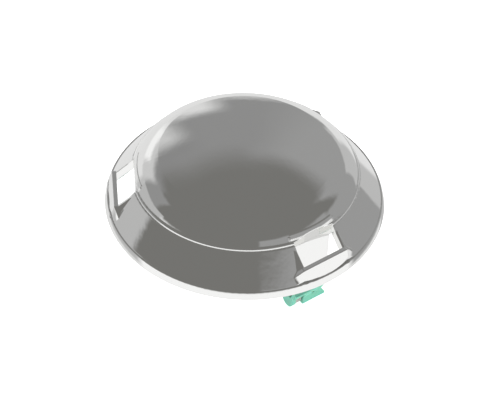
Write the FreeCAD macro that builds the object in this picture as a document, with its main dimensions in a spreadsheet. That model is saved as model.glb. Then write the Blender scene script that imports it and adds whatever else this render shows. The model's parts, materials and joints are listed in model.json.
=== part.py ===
import FreeCAD, Part
import Sketcher

import math
import os
import re

# A chrome plated hub cover cap for a trailer or caravan wheel.  One moulded cover carries a
# crowned dome, a conical flange and a rolled lip.  Three windows open through the flange, and
# below each window a leg holds a sprung nylon latch that grips the bore of the wheel.
#
# Frame: Z is the axis of the cap, up through the crown.  The origin is on the axis, at the
# level of the hinge cheeks' feet, which is the level the cap stands on.  In a station's own
# frame X points outwards through the window, Y runs along the rim and Z is up.

# Driving dimensions, in millimetres and degrees.
SIZES = {
    "rim_radius": (82.5, "outside radius of the rolled lip"),
    "rim_height": (31.0, "height of the lip's seat above the hinge cheeks' feet"),
    "wall": (2.5, "wall of the moulding"),
    "lip_width": (1.6, "radial width of the rolled lip's outer face"),
    "lip_height": (4.9, "height of the lip's top above its seat"),
    "lip_edge": (0.6, "rounding at the seat's outer edge"),
    "lip_round": (14.0, "radius of the rolled lip's outer face in section"),
    "seat_width": (3.1, "radial width of the seat under the lip"),
    "lip_groove": (0.6, "width of the groove between lip and flange"),
    "flange_width": (13.4, "radial width of the conical flange"),
    "flange_rise": (17.5, "rise of the conical flange"),
    "edge_round": (0.5, "rounding at the flange's upper edge"),
    "edge_arc": (0.6, "radius of that rounding in section"),
    "bead_width": (1.3, "radial width of the bead at the dome's foot"),
    "bead_height": (1.7, "height of the bead at the dome's foot"),
    "bead_round": (1.5, "radius of the bead's section"),
    "foot_slope": (62, "slope of the dome at its foot"),
    "crown_slope": (18, "slope where shoulder and crown meet"),
    "shoulder_radius": (25, "radius of the dome's shoulder in section"),
    "window_width": (27.2, "width of a window's opening"),
    "window_length": (10.4, "radial length of a window's opening"),
    "window_setback": (18.1, "from the rim to a window's inner edge"),
    "frame_height": (13.0, "height of a window frame's outer end above the seat"),
    "frame_end": (2.6, "thickness of a window frame's outer end"),
    "frame_side": (1.5, "flat top of a window frame's sides"),
    "frame_flank": (5.4, "run of a window frame's sloping flank"),
    "frame_drop": (4.6, "drop of a window frame's flank"),
    "header_width": (1.6, "radial width of the header above a window"),
    "header_rise": (0.7, "how far the header stands up from the dome"),
    "duct_wall": (2.0, "wall of the duct below a window"),
    "duct_depth": (6.5, "depth of the duct below a window's edge"),
    "leg_width": (24, "width of a leg"),
    "leg_offset": (4.0, "how far a leg's lower part stands in from its upper part"),
    "rib_pitch": (16, "spacing of a leg's two ribs"),
    "rib_wall": (1.8, "thickness of a rib"),
    "rib_reach": (11.5, "how far a rib reaches inwards under the dome"),
    "cheek_wall": (1.8, "thickness of a cheek that holds the hinge pin"),
    "cheek_radius": (2.8, "radius of a cheek around the hinge pin"),
    "pin_radius": (1.25, "radius of the hinge pin"),
    "pin_fit": (0.02, "radial clearance of the pin in the cheeks"),
    "pin_running_fit": (0.06, "radial clearance of the pin in the latch"),
    "pin_inset": (0.3, "how far the pin's ends stand back from what they end in"),
    "pin_height": (4.9, "height of the hinge pin above the cheeks' feet"),
    "latch_reach": (4.9, "from the pin to the latch's face"),
    "latch_radius": (4.4, "radius of the latch's barrel, and from the pin down to its underside"),
    "latch_lead": (1.6, "how far the latch's face stands out past a window's inner edge"),
    "latch_edge": (0.8, "rounding at the latch's lower edge"),
    "latch_skin": (1.8, "thickness of the latch's face"),
    "latch_top": (16.5, "height of the latch's top"),
    "corner_run": (3.5, "how far the latch's far top corner is cut back"),
    "corner_foot": (2.5, "height where that cut starts"),
    "slot_size": (1.8, "width and height of the drain slot through the latch's face"),
    "slot_shift": (1.2, "how far the drain slot lies from the middle of the latch's body"),
    "slot_lift": (0.4, "height of the drain slot's foot above the nose's foot"),
    "mark_radius": (0.45, "radius of the gate mark on the latch's face"),
    "mark_shift": (2.0, "how far the gate mark lies from the middle of the latch's body"),
    "mark_height": (2.5, "height of the gate mark's middle"),
    "nose_reach": (3.0, "how far the nose stands out of the latch's face"),
    "nose_foot": (6.5, "height where the nose starts"),
    "nose_peak": (12.5, "height of the nose's lower corner"),
    "nose_flat": (1.0, "height of the nose's flat tip"),
    "body_end": (10.6, "from a station's middle to the far end of the latch's body"),
    "body_width": (15.6, "width of the latch's body"),
    "end_wall": (2.5, "thickness of the latch's end wall"),
    "coil_gap": (5.0, "width of the slot for the spring"),
    "ear_width": (3.0, "width of the latch's ear"),
    "ear_radius": (4.4, "radius of the latch's ear"),
    "ear_skin": (0.8, "thickness of the ear's closed outer end"),
    "spool_radius": (2.75, "radius of the spool inside the spring"),
    "bar_foot": (10.5, "height of the underside of the bar above the spring"),
    "side_gap": (0.3, "clearance between the latch and what stands beside it"),
    "stop_gap": (0.05, "clearance between heel and leg at rest"),
    "wire_radius": (0.45, "radius of the spring wire"),
    "coil_radius": (3.6, "mean radius of the spring's coil"),
    "coil_pitch": (1.05, "pitch of the spring's coil"),
}

STATIONS = 3
COIL_TURNS = 3.5
FIRST_STATION_DEG = 180.0

# Sizes worked out from the driving ones.  Heights count from the level the cap stands on.
WORKED_OUT = {
    "lip_inner": "rim_radius - lip_width",
    "flange_foot": "lip_inner - lip_groove",
    "flange_foot_z": "rim_height + lip_height",
    "flange_top": "flange_foot - flange_width",
    "flange_top_z": "flange_foot_z + flange_rise",
    "flange_angle": "atan(flange_rise / flange_width)",
    "dome_foot": "flange_top - edge_round - bead_width",
    "dome_foot_z": "flange_top_z + bead_height",
    "shoulder_x": "dome_foot - shoulder_radius * sin(foot_slope * 1 deg)",
    "shoulder_z": "dome_foot_z - shoulder_radius * cos(foot_slope * 1 deg)",
    "crown_edge": "shoulder_x + shoulder_radius * sin(crown_slope * 1 deg)",
    "crown_edge_z": "shoulder_z + shoulder_radius * cos(crown_slope * 1 deg)",
    "crown_radius": "crown_edge / sin(crown_slope * 1 deg)",
    "apex_z": "crown_edge_z + crown_radius * (1 - cos(crown_slope * 1 deg))",
    "inner_shoulder": "shoulder_radius - wall",
    "seat_inner": "rim_radius - seat_width",
    "inner_top": "flange_top - wall * sin(flange_angle)",
    "inner_top_z": "flange_top_z - wall * cos(flange_angle)",
    "seat_step_z": "inner_top_z - (seat_inner - inner_top) * tan(flange_angle)",
    "window_inner": "rim_radius - window_setback",
    "window_outer": "window_inner + window_length",
    "frame_outer": "window_outer + frame_end",
    "frame_top_z": "rim_height + frame_height",
    "frame_root_z": "shoulder_z + sqrt(shoulder_radius ^ 2 - (window_inner - shoulder_x) ^ 2)",
    "header_inner": "window_inner - header_width",
    "header_z": "shoulder_z + sqrt(shoulder_radius ^ 2 - (header_inner - shoulder_x) ^ 2)",
    "header_angle": "2 * atan((window_width / 2 + frame_side) / window_inner)",
    "mid_wall": "shoulder_radius - wall / 2",
    "mid_z_at_window": "shoulder_z + sqrt(mid_wall ^ 2 - (window_inner - shoulder_x) ^ 2)",
    "leg_inner": "window_inner - wall",
    "mid_z_at_leg": "shoulder_z + sqrt(mid_wall ^ 2 - (leg_inner - shoulder_x) ^ 2)",
    "rib_inner": "leg_inner - rib_reach",
    "mid_z_at_rib": "shoulder_z + sqrt(mid_wall ^ 2 - (rib_inner - shoulder_x) ^ 2)",
    "duct_slope": "(flange_top_z - frame_top_z) / window_length",
    "duct_inner_z": "flange_top_z - duct_depth",
    "duct_outer_z": "duct_inner_z - duct_slope * (frame_outer - window_inner)",
    "duct_back_z": "duct_inner_z + duct_slope * wall",
    "mid_z_at_frame": "flange_foot_z + (flange_foot - frame_outer) * tan(flange_angle) - wall / 2",
    "latch_face": "window_inner + latch_lead",
    "pin_x": "latch_face - latch_reach",
    "face_inner": "latch_face - latch_skin",
    "leg_low_outer": "leg_inner + wall - leg_offset",
    "leg_low_inner": "leg_inner - leg_offset",
    "latch_foot_z": "pin_height - latch_radius",
    "latch_floor_z": "pin_height - cheek_radius - side_gap",
    "leg_foot_z": "pin_height + latch_radius + 3 * side_gap",
    "leg_bend_z": "latch_top + 3 * side_gap",
    "body_start": "body_end - body_width",
    "ear_inner": "body_start - coil_gap",
    "ear_outer": "ear_inner - ear_width",
    "far_cheek": "body_end - end_wall - side_gap",
    "near_cheek": "body_start + side_gap",
    "bar_inner": "pin_x + coil_radius + wire_radius + stop_gap",
    "pin_start": "ear_outer + ear_skin + pin_inset",
}

doc = FreeCAD.newDocument("HubCoverCap")
sheet = doc.addObject("Spreadsheet::Sheet", "Sizes")


def fill_sheet():
    """Write every driving dimension to the sheet, with its alias and what it means."""
    for row, (alias, (size, meaning)) in enumerate(SIZES.items(), start=1):
        sheet.set("A%d" % row, meaning)
        sheet.set("B%d" % row, str(size))
        sheet.setAlias("B%d" % row, alias)
    doc.recompute()


def bind(text):
    """Turn a formula in plain names into one that refers to the sheet's cells."""
    def swap(match):
        name = match.group()
        if name in SIZES:
            return "Sizes." + name
        if name in WORKED_OUT:
            return "(" + bind(WORKED_OUT[name]) + ")"
        return name
    return re.sub(r"[a-z]\w*", swap, str(text))


def value(text):
    """The present value of a formula."""
    result = sheet.evalExpression(bind(text))
    return float(getattr(result, "Value", result))


def new_body(label):
    body = doc.addObject("PartDesign::Body", label)
    body.Label = label
    return body


def new_sketch(body, name, role="XZ_Plane", offset=None):
    """A sketch on one of the body's own planes, moved along the plane's normal by offset."""
    plane = next(item for item in body.Origin.OriginFeatures if item.Role == role)
    sketch = body.newObject("Sketcher::SketchObject", name)
    sketch.AttachmentSupport = [(plane, "")]
    sketch.MapMode = "FlatFace"
    if offset is not None:
        sketch.setExpression("AttachmentOffset.Base.z", bind(offset))
    return sketch


def bound(sketch, *constraint, formula):
    """Add a constraint whose value follows a formula."""
    index = sketch.addConstraint(Sketcher.Constraint(*constraint, value(formula)))
    sketch.setExpression("Constraints[%d]" % index, bind(formula))


def place(sketch, geometry, point, x_text, y_text):
    """Hold a point of the sketch at a place given by two formulas."""
    for kind, text, axis in (("DistanceX", x_text, -2), ("DistanceY", y_text, -1)):
        if text == "0":
            sketch.addConstraint(Sketcher.Constraint("PointOnObject", geometry, point, axis))
        else:
            bound(sketch, kind, -1, 1, geometry, point, formula=text)


def arc_between(start, end, radius, turn):
    """The shorter arc from start to end; turn is 1 for anticlockwise and -1 for clockwise."""
    chord = end - start
    rise = math.sqrt(max(radius ** 2 - (chord.Length / 2) ** 2, 0.0))
    left = FreeCAD.Vector(-chord.y, chord.x, 0).normalize()
    centre = (start + end) * 0.5 + left * (rise * turn)
    first, last = (start, end) if turn > 0 else (end, start)
    angles = [math.atan2(p.y - centre.y, p.x - centre.x) for p in (first, last)]
    circle = Part.Circle(centre, FreeCAD.Vector(0, 0, 1), radius)
    return Part.ArcOfCircle(circle, angles[0], angles[1])


def outline(sketch, corners):
    """Draw a closed outline.  Each corner is (x, y), or (x, y, radius, turn) where the edge
    that arrives at it is an arc."""
    points = [FreeCAD.Vector(value(c[0]), value(c[1]), 0) for c in corners]
    ends = []
    for index, corner in enumerate(corners):
        start, end = points[index - 1], points[index]
        if len(corner) == 2:
            geometry = sketch.addGeometry(Part.LineSegment(start, end), False)
            ends.append((geometry, 1, 2))
            continue
        turn = corner[3]
        arc = arc_between(start, end, value(corner[2]), turn)
        geometry = sketch.addGeometry(arc, False)
        ends.append((geometry, 1, 2) if turn > 0 else (geometry, 2, 1))
        bound(sketch, "Radius", geometry, formula=corner[2])
    for index, corner in enumerate(corners):
        arriving = ends[index]
        leaving = ends[(index + 1) % len(ends)]
        sketch.addConstraint(Sketcher.Constraint(
            "Coincident", arriving[0], arriving[2], leaving[0], leaving[1]))
        place(sketch, arriving[0], arriving[2], corner[0], corner[1])


def disc(sketch, x_text, y_text, radius):
    """Draw a circle."""
    centre = FreeCAD.Vector(value(x_text), value(y_text), 0)
    circle = Part.Circle(centre, FreeCAD.Vector(0, 0, 1), value(radius))
    geometry = sketch.addGeometry(circle, False)
    bound(sketch, "Radius", geometry, formula=radius)
    place(sketch, geometry, 3, x_text, y_text)


def slab(body, name, low, high, corners=None, circle=None, cut=False):
    """A pad or pocket between two places along Y of an outline in the X-Z plane."""
    sketch = new_sketch(body, name + "_outline", offset="-(%s)" % high)
    if corners:
        outline(sketch, corners)
    else:
        disc(sketch, *circle)
    kind = "PartDesign::Pocket" if cut else "PartDesign::Pad"
    feature = body.newObject(kind, name)
    feature.Profile = sketch
    feature.setExpression("Length", bind("(%s) - (%s)" % (high, low)))
    feature.Reversed = cut
    doc.recompute()
    return feature


def turned(body, name, corners, cut=False, sweep=None):
    """A revolution or groove of an outline about the body's Z axis, all round or by sweep."""
    sketch = new_sketch(body, name + "_outline")
    outline(sketch, corners)
    kind = "PartDesign::Groove" if cut else "PartDesign::Revolution"
    feature = body.newObject(kind, name)
    feature.Profile = sketch
    feature.ReferenceAxis = (sketch, ["V_Axis"])
    feature.Angle = 360
    if sweep:
        feature.Midplane = True
        feature.setExpression("Angle", bind(sweep))
    doc.recompute()
    return feature


def around(body, name, features):
    """Repeat features at every station about the body's Z axis."""
    axis = next(item for item in body.Origin.OriginFeatures if item.Role == "Z_Axis")
    pattern = body.newObject("PartDesign::PolarPattern", name)
    pattern.Originals = features
    pattern.Axis = (axis, [""])
    pattern.Angle = 360
    pattern.Occurrences = STATIONS
    body.Tip = pattern
    doc.recompute()
    return pattern


def dome_outline():
    """The outside of the cap as a solid: seat, lip, groove, flange, bead, shoulder, crown."""
    return [
        ("0", "rim_height"),
        ("rim_radius - lip_edge", "rim_height"),
        ("rim_radius", "rim_height + lip_edge", "lip_edge", 1),
        ("lip_inner", "flange_foot_z", "lip_round", 1),
        ("lip_inner - lip_groove / 2", "flange_foot_z - lip_groove"),
        ("flange_foot", "flange_foot_z"),
        ("flange_top + edge_round / 2", "flange_top_z - edge_round / 2 * tan(flange_angle)"),
        ("flange_top - edge_round / 2", "flange_top_z", "edge_arc", 1),
        ("flange_top - edge_round", "flange_top_z - edge_round / 2"),
        ("dome_foot", "dome_foot_z", "bead_round", 1),
        ("crown_edge", "crown_edge_z", "shoulder_radius", 1),
        ("0", "apex_z", "crown_radius", 1),
    ]


def hollow_outline():
    """The hollow under the cap, one wall inside the outside."""
    foot_x = "shoulder_x + inner_shoulder * sin(foot_slope * 1 deg)"
    foot_z = "shoulder_z + inner_shoulder * cos(foot_slope * 1 deg)"
    edge_x = "shoulder_x + inner_shoulder * sin(crown_slope * 1 deg)"
    edge_z = "shoulder_z + inner_shoulder * cos(crown_slope * 1 deg)"
    return [
        ("0", "rim_height - wall"),
        ("seat_inner", "rim_height - wall"),
        ("seat_inner", "seat_step_z"),
        ("inner_top", "inner_top_z"),
        (foot_x, foot_z),
        (edge_x, edge_z, "inner_shoulder", 1),
        ("0", "apex_z - wall", "crown_radius - wall", 1),
    ]


def frame_section(shift, drop):
    """One section through a window's raised frame, moved in and down towards its flank."""
    low = "rim_height + 2 * lip_edge"
    return [
        ("window_inner - wall / 2", "frame_root_z - bead_height - 2 * (%s)" % drop),
        ("window_outer - (%s)" % shift, "frame_top_z - (%s)" % drop),
        ("frame_outer - (%s)" % shift, "frame_top_z - (%s)" % drop),
        ("flange_foot - (%s)" % shift, "flange_foot_z - lip_groove / 2"),
        ("flange_foot - wall - (%s)" % shift, low),
        ("window_inner - wall / 2", low),
    ]


def window_frame(body):
    """The raised frame around a window: flat-topped sides, sloping flanks, steep outer end."""
    half = "(window_width / 2 + frame_side)"
    wide = "(window_width / 2 + frame_side + frame_flank)"
    sketches = []
    for index, (place_y, shift, drop) in enumerate((
            ("-" + wide, "wall", "frame_drop"),
            ("-" + half, "0", "0"),
            (half, "0", "0"),
            (wide, "wall", "frame_drop"))):
        sketch = new_sketch(body, "frame_section_%d" % index, offset="-(%s)" % place_y)
        outline(sketch, frame_section(shift, drop))
        sketches.append(sketch)
    loft = body.newObject("PartDesign::AdditiveLoft", "window_frame")
    loft.Profile = sketches[0]
    loft.Sections = sketches[1:]
    loft.Ruled = True
    doc.recompute()
    return loft


def header_outline():
    """The header above a window, a low step that follows the foot of the dome."""
    return [
        ("header_inner", "header_z - 2 * wall"),
        ("window_inner + header_width / 4", "header_z - 2 * wall"),
        ("window_inner + header_width / 4", "frame_root_z"),
        ("window_inner", "frame_root_z + header_rise"),
        ("header_inner + header_width / 4", "header_z + header_rise / 4"),
        ("header_inner", "header_z"),
    ]


def groove_outline():
    """The room above the lip, with the groove between lip and flange at its foot."""
    return [
        ("lip_inner", "flange_foot_z"),
        ("lip_inner - lip_groove / 2", "flange_foot_z - lip_groove"),
        ("flange_foot", "flange_foot_z"),
        ("flange_foot", "frame_top_z"),
        ("rim_radius + wall", "frame_top_z"),
        ("rim_radius + wall", "flange_foot_z"),
    ]


def duct_outline():
    """The duct around a window's opening, from inside the shell down to its sloping edge."""
    return [
        ("leg_inner", "duct_back_z"),
        ("frame_outer - frame_end / 2 + duct_wall / 2", "duct_outer_z"),
        ("frame_outer - frame_end / 2 + duct_wall / 2", "mid_z_at_frame"),
        ("window_inner", "mid_z_at_window"),
        ("leg_inner", "mid_z_at_leg"),
    ]


def leg_outline():
    """A leg: down from the duct's inner wall, then stepped inwards to clear the latch."""
    return [
        ("window_inner", "leg_bend_z + leg_offset / 2"),
        ("leg_low_outer", "leg_bend_z"),
        ("leg_low_outer", "leg_foot_z"),
        ("leg_low_inner", "leg_foot_z"),
        ("leg_low_inner", "leg_bend_z + wall / 2"),
        ("leg_inner", "leg_bend_z + wall / 2 + leg_offset / 2"),
        ("leg_inner", "mid_z_at_leg"),
        ("window_inner", "mid_z_at_window"),
    ]


def rib_outline():
    """A rib behind a leg, which runs up to the underside of the dome."""
    return [
        ("leg_inner + wall / 2", "mid_z_at_leg - wall"),
        ("leg_inner", "mid_z_at_leg"),
        ("rib_inner", "mid_z_at_rib", "mid_wall", 1),
        ("leg_low_inner + wall / 2", "leg_bend_z - wall"),
        ("leg_low_inner + wall / 2", "leg_bend_z + wall"),
        ("leg_inner + wall / 2", "leg_bend_z + wall + leg_offset / 2"),
    ]


def opening_outline():
    """The window's opening, straight down through the flange and the foot of the dome."""
    return [
        ("window_inner", "0"),
        ("window_outer", "0"),
        ("window_outer", "apex_z"),
        ("window_inner", "apex_z"),
    ]


def cheek_arm():
    """The strip that joins a cheek's round end to the leg above and to its foot below."""
    return [
        ("pin_x - cheek_radius", "0"),
        ("pin_x - 2 * side_gap", "0"),
        ("pin_x - 2 * side_gap", "pin_height"),
        ("pin_x + side_gap", "pin_height"),
        ("pin_x + side_gap", "leg_foot_z + wall"),
        ("pin_x - cheek_radius", "leg_foot_z + wall"),
    ]


def cover_shell():
    """The moulded cover with its windows, ducts, legs and hinge cheeks."""
    body = new_body("cover_shell")
    turned(body, "dome", dome_outline())
    frame = window_frame(body)
    header = turned(body, "header", header_outline(), sweep="header_angle")
    around(body, "window_frames", [frame, header])
    turned(body, "lip_groove", groove_outline(), cut=True)
    turned(body, "hollow", hollow_outline(), cut=True)
    half_duct = "(window_width / 2 + duct_wall)"
    pads = [
        slab(body, "duct", "-" + half_duct, half_duct, duct_outline()),
        slab(body, "leg", "-leg_width / 2", "leg_width / 2", leg_outline()),
    ]
    for side, name in ((-1, "near_rib"), (1, "far_rib")):
        middle = "%d * rib_pitch / 2" % side
        low, high = middle + " - rib_wall / 2", middle + " + rib_wall / 2"
        pads.append(slab(body, name, low, high, rib_outline()))
    cheeks = (
        ("near", "near_cheek", "near_cheek + cheek_wall"),
        ("far", "far_cheek - cheek_wall", "far_cheek"),
    )
    for name, low, high in cheeks:
        round_end = ("pin_x", "pin_height", "cheek_radius")
        pads.append(slab(body, name + "_cheek", low, high, circle=round_end))
        pads.append(slab(body, name + "_cheek_arm", low, high, cheek_arm()))
    around(body, "station_pads", pads)
    half_window = "window_width / 2"
    cuts = [
        slab(body, "opening", "-" + half_window, half_window, opening_outline(), cut=True),
        slab(body, "pin_holes", "-leg_width / 2", "leg_width / 2",
             circle=("pin_x", "pin_height", "pin_radius + pin_fit"), cut=True),
    ]
    around(body, "station_cuts", cuts)
    return body


def latch_section():
    """The latch's body in section: flat face with a nose outside, barrel round the pin."""
    return [
        ("pin_x", "latch_foot_z", "latch_radius", 1),
        ("latch_face - latch_edge", "latch_foot_z"),
        ("latch_face", "latch_foot_z + latch_edge", "latch_edge", 1),
        ("latch_face", "nose_foot"),
        ("latch_face + nose_reach", "nose_peak"),
        ("latch_face + nose_reach", "nose_peak + nose_flat"),
        ("latch_face + latch_edge / 2", "latch_top"),
        ("face_inner", "latch_top"),
        ("face_inner", "pin_height + latch_radius - latch_edge"),
        ("pin_x", "pin_height + latch_radius"),
        ("pin_x - latch_radius", "pin_height", "latch_radius", 1),
    ]


def bar_section():
    """The bar above the spring, which carries the nose on to the ear."""
    return [
        ("bar_inner", "bar_foot"),
        ("latch_face + nose_reach * (bar_foot - nose_foot) / (nose_peak - nose_foot)", "bar_foot"),
        ("latch_face + nose_reach", "nose_peak"),
        ("latch_face + nose_reach", "nose_peak + nose_flat"),
        ("latch_face + latch_edge / 2", "latch_top"),
        ("bar_inner", "latch_top"),
    ]


def hollow_section():
    """The latch's hollow, open at the back, in which the cheeks stand."""
    back = "pin_x - latch_radius - wall"
    return [
        (back, "-wall"),
        ("pin_x", "-wall"),
        ("pin_x", "latch_floor_z"),
        ("face_inner", "latch_floor_z"),
        ("face_inner", "latch_top + wall"),
        (back, "latch_top + wall"),
    ]


def ear_web():
    """The web that joins the ear to the bar."""
    return [
        ("pin_x + pin_radius", "pin_height"),
        ("pin_x + ear_radius - side_gap", "pin_height"),
        ("latch_face - side_gap", "bar_foot + wall / 2"),
        ("bar_inner", "bar_foot + wall / 2"),
        ("pin_x + pin_radius", "pin_height + pin_radius"),
    ]


def heel_section():
    """The heel that meets the leg's lower edge and stops the latch outwards."""
    return [
        ("leg_low_inner", "leg_foot_z - wall"),
        ("pin_x - pin_radius * 2", "pin_height + pin_radius"),
        ("pin_x - pin_radius / 2", "leg_foot_z - side_gap * 2"),
        ("leg_low_outer - side_gap", "leg_foot_z - stop_gap"),
        ("leg_low_inner", "leg_foot_z - stop_gap"),
    ]


def face_pocket(body, name, sketch, depth):
    """A pocket outwards along X from its sketch."""
    pocket = body.newObject("PartDesign::Pocket", name)
    pocket.Profile = sketch
    pocket.setExpression("Length", bind(depth))
    pocket.Reversed = True
    doc.recompute()
    return pocket


def corner_cut(body):
    """Cut the latch's face back towards its far top corner."""
    sketch = new_sketch(body, "corner_outline", role="YZ_Plane", offset="face_inner - wall / 2")
    outline(sketch, [
        ("body_end + wall", "corner_foot"),
        ("body_end + wall", "latch_top + wall"),
        ("body_end - corner_run", "latch_top + wall"),
        ("body_end - corner_run", "nose_foot + latch_skin"),
        ("body_end", "corner_foot"),
    ])
    return face_pocket(body, "corner", sketch, "latch_radius + nose_reach")


def face_details(body):
    """A drain slot through the latch's face and a gate mark below it."""
    body_middle = "(body_start + body_end) / 2"
    middle = body_middle + " - slot_shift"
    slot = new_sketch(body, "slot_outline", role="YZ_Plane", offset="face_inner - side_gap")
    low, high = middle + " - slot_size / 2", middle + " + slot_size / 2"
    outline(slot, [
        (low, "nose_foot + slot_lift"),
        (high, "nose_foot + slot_lift"),
        (high, "nose_foot + slot_lift + slot_size"),
        (low, "nose_foot + slot_lift + slot_size"),
    ])
    face_pocket(body, "drain_slot", slot, "latch_skin + nose_reach + wall")
    mark = new_sketch(body, "mark_outline", role="YZ_Plane", offset="latch_face - side_gap")
    disc(mark, body_middle + " - mark_shift", "mark_height", "mark_radius")
    face_pocket(body, "gate_mark", mark, "wall")


def latch(label):
    """One nylon latch: body, bar, ear and spool on the hinge line, with a nose and a heel."""
    body = new_body(label)
    slab(body, "block", "body_start", "body_end", latch_section())
    slab(body, "bar", "ear_outer", "body_start + side_gap", bar_section())
    slab(body, "ear", "ear_outer", "ear_inner", circle=("pin_x", "pin_height", "ear_radius"))
    slab(body, "web", "ear_outer", "ear_inner", ear_web())
    slab(body, "spool", "ear_inner - side_gap", "body_start",
         circle=("pin_x", "pin_height", "spool_radius"))
    slab(body, "cavity", "body_start - side_gap / 3", "body_end - end_wall", hollow_section(), cut=True)
    slab(body, "heel", "body_end - end_wall", "body_end", heel_section())
    slab(body, "bore", "ear_outer + ear_skin", "body_end + wall",
         circle=("pin_x", "pin_height", "pin_radius + pin_running_fit"), cut=True)
    corner_cut(body)
    face_details(body)
    return body


def hinge_pin(label):
    """A plain steel pin with bevelled ends, drawn upright from its end in the ear."""
    body = new_body(label)
    length = "(body_end - pin_inset - pin_start)"
    bevel = "latch_edge / 4"
    turned(body, "pin", [
        ("0", "0"),
        ("pin_radius - " + bevel, "0"),
        ("pin_radius", bevel),
        ("pin_radius", length + " - " + bevel),
        ("pin_radius - " + bevel, length),
        ("0", length),
    ])
    return body


def torsion_spring(label):
    """A coil round the latch's spool, with one arm up the bar and one up to the leg."""
    radius = value("coil_radius")
    wire = value("wire_radius")
    pitch = value("coil_pitch")
    rise = pitch * COIL_TURNS
    start_y = value("(ear_inner + body_start) / 2") - rise / 2
    centre = FreeCAD.Vector(value("pin_x"), start_y, value("pin_height"))
    coil = Part.makeHelix(pitch, rise, radius)
    coil.Placement = FreeCAD.Placement(centre, FreeCAD.Rotation(FreeCAD.Vector(1, 0, 0), -90))
    outer = centre + FreeCAD.Vector(radius, 0, 0)
    inner = centre + FreeCAD.Vector(-radius, rise, 0)
    arm_top = FreeCAD.Vector(outer.x, outer.y, value("latch_top - latch_edge"))
    arm_end = FreeCAD.Vector(inner.x, inner.y, value("leg_foot_z - side_gap"))
    path = Part.Wire([Part.makeLine(arm_top, outer)] + coil.Edges + [Part.makeLine(inner, arm_end)])
    section = Part.Wire([Part.makeCircle(wire, arm_top, FreeCAD.Vector(0, 0, -1))])
    spring = doc.addObject("Part::Feature", label)
    spring.Label = label
    spring.Shape = path.makePipeShell([section], True, True)
    return spring


def station(number):
    """Place one station's latch, spring and pin."""
    angle = FIRST_STATION_DEG + 360.0 / STATIONS * number
    turn = FreeCAD.Placement(FreeCAD.Vector(), FreeCAD.Rotation(FreeCAD.Vector(0, 0, 1), angle))
    pin_spot = FreeCAD.Vector(value("pin_x"), value("pin_start"), value("pin_height"))
    along = FreeCAD.Rotation(FreeCAD.Vector(1, 0, 0), -90)
    tag = "_%d" % (number + 1)
    pin = hinge_pin("hinge_pin" + tag)
    pin.Placement = turn.multiply(FreeCAD.Placement(pin_spot, along))
    moving = [latch("latch" + tag), torsion_spring("latch_spring" + tag)]
    for piece in moving:
        piece.Placement = turn
    return moving + [pin]


def check(pieces):
    """Stop if any object failed or any piece has no valid shape."""
    doc.recompute()
    for item in doc.Objects:
        if "Invalid" in item.State or "Error" in item.State:
            raise RuntimeError("%s: %s" % (item.Label, item.State))
    for piece in pieces:
        if piece.Shape.isNull() or not piece.Shape.isValid():
            raise RuntimeError("%s has no valid shape" % piece.Label)


def export(pieces):
    os.makedirs("parts", exist_ok=True)
    for piece in pieces:
        piece.Shape.exportStep("parts/%s.step" % piece.Label)
        box = piece.Shape.BoundBox
        print("%-16s solids %d volume %.0f  z %.2f to %.2f" % (
            piece.Label, len(piece.Shape.Solids), piece.Shape.Volume, box.ZMin, box.ZMax))


fill_sheet()
shell = cover_shell()
shell.Placement = FreeCAD.Placement(
    FreeCAD.Vector(), FreeCAD.Rotation(FreeCAD.Vector(0, 0, 1), FIRST_STATION_DEG))
all_pieces = [shell]
for station_number in range(STATIONS):
    all_pieces += station(station_number)
check(all_pieces)
export(all_pieces)
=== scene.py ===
"""Looks, light and camera for the chrome wheel centre cap with three sprung latches."""

import json
import math

import bpy
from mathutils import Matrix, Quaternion, Vector

# Camera: places in metres, angles in degrees, lens and sensor in millimetres.
CAMERA_DISTANCE = 0.990
CAMERA_AZIMUTH = -7.13
CAMERA_ELEVATION = 43.64
CAMERA_ROLL = 2.13
CAMERA_LENS = 120.6
SENSOR_WIDTH = 36.0
NEAREST = 0.01
FARTHEST = 50.0
AIM_RIGHT = 0.0031
AIM_UP = -0.0062

# The room as the chrome mirrors it: a grey ceiling, and soft-edged patches laid over it in turn.
# A patch reaches down to the nadir.  It is azimuth, half width, top and softness in degrees, and
# then its radiance.
CEILING = (0.192, 0.190, 0.181)
ROOM = {
    "right wall": (136.0, 36.0, 49.0, 12.0, 0.34),
    "low right wall": (100.0, 22.0, 22.0, 8.0, 0.34),
    "back wall": (-174.0, 24.0, 50.0, 20.0, 0.29),
    "left haze": (-142.0, 26.0, 43.0, 12.0, 0.27),
    "front right wall": (43.0, 36.0, 27.0, 5.0, 0.34),
    "left wall": (-113.0, 17.0, 38.0, 6.0, 0.30),
    "left shelf": (-105.0, 20.0, 11.0, 3.0, 0.51),
    "soft window": (-145.0, 21.0, 32.0, 10.0, 0.63),
    "pale window": (-167.0, 13.0, 17.0, 8.0, 0.76),
    "bright window": (-153.0, 11.0, 22.0, 7.0, 0.97),
    "table": (0.0, 180.0, -20.0, 12.0, 0.84),
    "paper edge": (137.0, 15.0, 14.0, 3.0, 0.53),
    "far paper": (-173.0, 44.0, 6.5, 6.0, 0.80),
    "near paper": (-4.0, 82.0, 5.0, 8.0, 1.00),
}
BACKDROP = 1.0

# Chrome: the plating rounds every moulded edge to about EDGE_RADIUS.  Scales are in waves per metre.
CHROME_COLOUR = (0.90, 0.90, 0.89, 1.0)
CHROME_ROUGHNESS = (0.035, 0.085)
SMUDGE_SCALE = 45.0
PEEL_SCALE = 260.0
PEEL_STRENGTH = 0.10
PEEL_DEPTH = 0.0002
EDGE_RADIUS = 0.0008
EDGE_SAMPLES = 8

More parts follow.
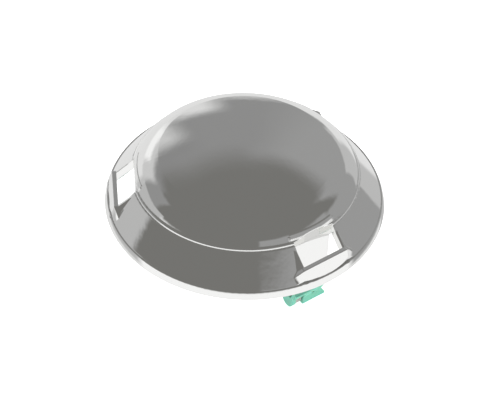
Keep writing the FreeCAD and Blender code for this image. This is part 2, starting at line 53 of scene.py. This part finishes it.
# Nylon: a cloudy green with a fine grain.
NYLON_DARK = (0.13, 0.50, 0.36, 1.0)
NYLON_LIGHT = (0.22, 0.62, 0.47, 1.0)
NYLON_ROUGHNESS = (0.38, 0.52)
CLOUD_SCALE = 90.0
GRAIN_SCALE = 1800.0
GRAIN_STRENGTH = 0.25
GRAIN_DEPTH = 0.0001
NYLON_GLOW = 0.15
NYLON_GLOW_DEPTH = 0.002

# Steel: a colour and two roughness limits for each kind, and streaks along the piece.
SPRING_STEEL = ((0.62, 0.61, 0.58, 1.0), (0.22, 0.38))
PIN_STEEL = ((0.72, 0.71, 0.69, 1.0), (0.18, 0.34))
STREAK_SCALE = 900.0
STREAK_STRETCH = (1.0, 1.0, 4.0)
STREAK_STRENGTH = 0.15
STREAK_DEPTH = 0.00005

FLOOR_SIZE = 6.0
FLOOR_GLOW = 0.88
FLOOR_COLOUR = (0.93, 0.93, 0.93, 1.0)
FLOOR_ROUGHNESS = 0.9
WHITE = (1.0, 1.0, 1.0, 1.0)

# A light is azimuth and elevation in degrees, distance and size in metres, then its watts.
LIGHTS = {
    "key": (-50.0, 55.0, 1.2, 0.8, 9.0),
    "fill": (60.0, 50.0, 1.2, 0.8, 6.0),
}


def add_node(tree, kind, **settings):
    """A node of that kind, with plain attributes set by name."""
    node = tree.nodes.new(kind)
    for name, value in settings.items():
        setattr(node, name, value)
    return node


def math_node(tree, operation, first, second=None):
    """A Math node whose inputs are sockets or numbers; returns its output."""
    node = add_node(tree, "ShaderNodeMath", operation=operation)
    for socket, value in zip(node.inputs, (first, second)):
        if value is None:
            continue
        if isinstance(value, bpy.types.NodeSocket):
            tree.links.new(value, socket)
        else:
            socket.default_value = value
    return node.outputs[0]


def spread(tree, value, low, high, out_low, out_high):
    """Maps value from low..high to out_low..out_high, clamped, with soft ends."""
    node = add_node(tree, "ShaderNodeMapRange", interpolation_type="SMOOTHSTEP")
    tree.links.new(value, node.inputs["Value"])
    node.inputs["From Min"].default_value = low
    node.inputs["From Max"].default_value = high
    node.inputs["To Min"].default_value = out_low
    node.inputs["To Max"].default_value = out_high
    return node.outputs["Result"]


def noise(tree, where, scale, detail=2.0, stretch=(1.0, 1.0, 1.0)):
    """Noise over the place socket, stretched along the axes; returns its factor."""
    mapping = add_node(tree, "ShaderNodeMapping")
    mapping.inputs["Scale"].default_value = stretch
    tree.links.new(where, mapping.inputs["Vector"])
    node = add_node(tree, "ShaderNodeTexNoise")
    node.inputs["Scale"].default_value = scale
    node.inputs["Detail"].default_value = detail
    tree.links.new(mapping.outputs["Vector"], node.inputs["Vector"])
    return node.outputs["Fac"]


def bump(tree, height, strength, distance, under=None):
    """A Bump node over height, on top of the normal under; returns its normal."""
    node = add_node(tree, "ShaderNodeBump")
    node.inputs["Strength"].default_value = strength
    node.inputs["Distance"].default_value = distance
    tree.links.new(height, node.inputs["Height"])
    if under is not None:
        tree.links.new(under, node.inputs["Normal"])
    return node.outputs["Normal"]


def blank_material(name):
    """A material with its Principled shader and the place socket that detail follows."""
    material = bpy.data.materials.new(name)
    material.use_nodes = True
    tree = material.node_tree
    shader = tree.nodes["Principled BSDF"]
    place = add_node(tree, "ShaderNodeTexCoord").outputs["Object"]
    return material, tree, shader, place


def chrome_plating():
    """Bright chrome over moulded plastic, with faint orange peel, smudges and rounded edges."""
    material, tree, shader, place = blank_material("chrome_plating")
    shader.inputs["Base Color"].default_value = CHROME_COLOUR
    shader.inputs["Metallic"].default_value = 1.0
    smudge = noise(tree, place, SMUDGE_SCALE, 4.0)
    roughness = spread(tree, smudge, 0.35, 0.75, *CHROME_ROUGHNESS)
    tree.links.new(roughness, shader.inputs["Roughness"])
    peel = noise(tree, place, PEEL_SCALE, 1.0)
    rounded = add_node(tree, "ShaderNodeBevel", samples=EDGE_SAMPLES)
    rounded.inputs["Radius"].default_value = EDGE_RADIUS
    surface = bump(tree, peel, PEEL_STRENGTH, PEEL_DEPTH, under=rounded.outputs["Normal"])
    tree.links.new(surface, shader.inputs["Normal"])
    return material


def green_nylon():
    """Moulded sea-green nylon with a fine satin grain."""
    material, tree, shader, place = blank_material("green_nylon")
    cloud = noise(tree, place, CLOUD_SCALE, 3.0)
    greens = add_node(tree, "ShaderNodeValToRGB")
    greens.color_ramp.elements[0].color = NYLON_DARK
    greens.color_ramp.elements[1].color = NYLON_LIGHT
    tree.links.new(cloud, greens.inputs["Fac"])
    tree.links.new(greens.outputs["Color"], shader.inputs["Base Color"])
    grain = noise(tree, place, GRAIN_SCALE, 2.0)
    tree.links.new(spread(tree, grain, 0.3, 0.7, *NYLON_ROUGHNESS), shader.inputs["Roughness"])
    tree.links.new(bump(tree, grain, GRAIN_STRENGTH, GRAIN_DEPTH), shader.inputs["Normal"])
    shader.inputs["Subsurface Weight"].default_value = NYLON_GLOW
    shader.inputs["Subsurface Scale"].default_value = NYLON_GLOW_DEPTH
    return material


def drawn_steel(name, colour, roughness):
    """Drawn or turned steel with fine streaks; roughness is its two limits."""
    material, tree, shader, place = blank_material(name)
    shader.inputs["Base Color"].default_value = colour
    shader.inputs["Metallic"].default_value = 1.0
    streak = noise(tree, place, STREAK_SCALE, 3.0, stretch=STREAK_STRETCH)
    tree.links.new(spread(tree, streak, 0.3, 0.7, *roughness), shader.inputs["Roughness"])
    tree.links.new(bump(tree, streak, STREAK_STRENGTH, STREAK_DEPTH), shader.inputs["Normal"])
    return material


def dress_nodes():
    """Gives every CAD node the material of its record slot."""
    made = {
        "chrome_plating": chrome_plating(),
        "green_nylon": green_nylon(),
        "spring_steel": drawn_steel("spring_steel", *SPRING_STEEL),
        "pin_steel": drawn_steel("pin_steel", *PIN_STEEL),
    }
    for part in frame["record"]["subparts"]:
        data = frame["nodes"][part["node"]].data
        data.materials.clear()
        data.materials.append(made[part["material_slot"]])


def direction_from(azimuth, elevation):
    """The unit vector to a place at that azimuth and elevation; azimuth 0 is towards -Y."""
    a, e = math.radians(azimuth), math.radians(elevation)
    return Vector((math.sin(a) * math.cos(e), -math.cos(a) * math.cos(e), math.sin(e)))


def edge(middle, soft):
    """The two ends, in radians, of an edge at middle degrees that is soft degrees wide."""
    return math.radians(middle - soft / 2), math.radians(middle + soft / 2)


def patch_mask(tree, direction, elevation, azimuth, half, top, soft):
    """How far a direction lies in a patch of the room: 1 inside, 0 outside, soft between."""
    ahead = direction_from(azimuth, 0.0)
    across = direction_from(azimuth + 90.0, 0.0)
    parts = []
    for axis in (across, ahead):
        dot = add_node(tree, "ShaderNodeVectorMath", operation="DOT_PRODUCT")
        tree.links.new(direction, dot.inputs[0])
        dot.inputs[1].default_value = axis
        parts.append(dot.outputs["Value"])
    turn = math_node(tree, "ABSOLUTE", math_node(tree, "ARCTAN2", parts[0], parts[1]))
    below = spread(tree, elevation, *edge(top, soft), 1.0, 0.0)
    if half < 180.0:
        within = spread(tree, turn, *edge(half, soft), 1.0, 0.0)
        below = math_node(tree, "MULTIPLY", below, within)
    return below


def build_world():
    """The room that lights the cap and shows in its chrome, behind a plain white backdrop."""
    world = bpy.data.worlds.new("room")
    bpy.context.scene.world = world
    world.use_nodes = True
    tree = world.node_tree
    direction = add_node(tree, "ShaderNodeTexCoord").outputs["Generated"]
    parts = add_node(tree, "ShaderNodeSeparateXYZ")
    tree.links.new(direction, parts.inputs[0])
    elevation = math_node(tree, "ARCSINE", parts.outputs["Z"])
    colour = add_node(tree, "ShaderNodeRGB").outputs[0]
    colour.default_value = (*CEILING, 1.0)
    for azimuth, half, top, soft, radiance in ROOM.values():
        mix = add_node(tree, "ShaderNodeMix", data_type="RGBA")
        mask = patch_mask(tree, direction, elevation, azimuth, half, top, soft)
        tree.links.new(mask, mix.inputs["Factor"])
        tree.links.new(colour, mix.inputs["A"])
        mix.inputs["B"].default_value = (radiance, radiance, radiance, 1.0)
        colour = mix.outputs["Result"]
    room = tree.nodes["Background"]
    tree.links.new(colour, room.inputs["Color"])
    backdrop = add_node(tree, "ShaderNodeBackground")
    backdrop.inputs["Color"].default_value = (BACKDROP, BACKDROP, BACKDROP, 1.0)
    choose = add_node(tree, "ShaderNodeMixShader")
    tree.links.new(add_node(tree, "ShaderNodeLightPath").outputs["Is Camera Ray"], choose.inputs["Fac"])
    tree.links.new(room.outputs[0], choose.inputs[1])
    tree.links.new(backdrop.outputs[0], choose.inputs[2])
    tree.links.new(choose.outputs[0], tree.nodes["World Output"].inputs["Surface"])


def build_floor():
    """A pale floor under the cap that glows a little, as a light table does."""
    bpy.ops.mesh.primitive_plane_add(size=FLOOR_SIZE)
    floor = bpy.context.object
    floor.name = "floor"
    material, _, shader, _ = blank_material("pale_floor")
    shader.inputs["Base Color"].default_value = FLOOR_COLOUR
    shader.inputs["Roughness"].default_value = FLOOR_ROUGHNESS
    shader.inputs["Emission Color"].default_value = WHITE
    shader.inputs["Emission Strength"].default_value = FLOOR_GLOW
    floor.data.materials.append(material)
    floor.visible_glossy = False


def area_light(name, azimuth, elevation, distance, size, power):
    """A soft square light that aims at the cap and doesn't show in its chrome."""
    data = bpy.data.lights.new(name, "AREA")
    data.size = size
    data.energy = power
    light = bpy.data.objects.new(name, data)
    bpy.context.scene.collection.objects.link(light)
    back = direction_from(azimuth, elevation)
    light.location = back * distance
    light.rotation_mode = "QUATERNION"
    light.rotation_quaternion = back.to_track_quat("Z", "Y")
    light.visible_glossy = False


def build_camera():
    """The camera looks down at the middle of the rim plane, a little rolled."""
    data = bpy.data.cameras.new("camera")
    data.lens = CAMERA_LENS
    data.sensor_width = SENSOR_WIDTH
    data.clip_start = NEAREST
    data.clip_end = FARTHEST
    camera = bpy.data.objects.new("camera", data)
    bpy.context.scene.collection.objects.link(camera)
    seat = next(m for m in frame["record"]["mounts"] if m["name"] == "rim_seat")
    rim_centre = Vector((0.0, 0.0, seat["pos_m"][2]))
    back = direction_from(CAMERA_AZIMUTH, CAMERA_ELEVATION)
    camera.location = rim_centre + back * CAMERA_DISTANCE
    roll = Quaternion((0.0, 0.0, 1.0), math.radians(CAMERA_ROLL))
    level = back.to_track_quat("Z", "Y") @ roll
    aim = rim_centre + level @ Vector((AIM_RIGHT, AIM_UP, 0.0))
    camera.rotation_mode = "QUATERNION"
    camera.rotation_quaternion = (camera.location - aim).to_track_quat("Z", "Y") @ roll
    bpy.context.scene.camera = camera


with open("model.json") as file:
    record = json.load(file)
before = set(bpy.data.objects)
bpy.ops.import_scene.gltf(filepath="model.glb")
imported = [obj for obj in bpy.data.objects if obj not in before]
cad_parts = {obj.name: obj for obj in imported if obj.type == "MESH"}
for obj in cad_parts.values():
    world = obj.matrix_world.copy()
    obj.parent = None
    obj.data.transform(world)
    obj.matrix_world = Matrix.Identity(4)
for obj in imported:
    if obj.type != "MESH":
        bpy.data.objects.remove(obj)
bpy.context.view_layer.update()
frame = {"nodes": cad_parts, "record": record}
bpy.context.scene.view_settings.view_transform = "Standard"
dress_nodes()
build_world()
build_floor()
for light_name, settings in LIGHTS.items():
    area_light(light_name, *settings)
build_camera()
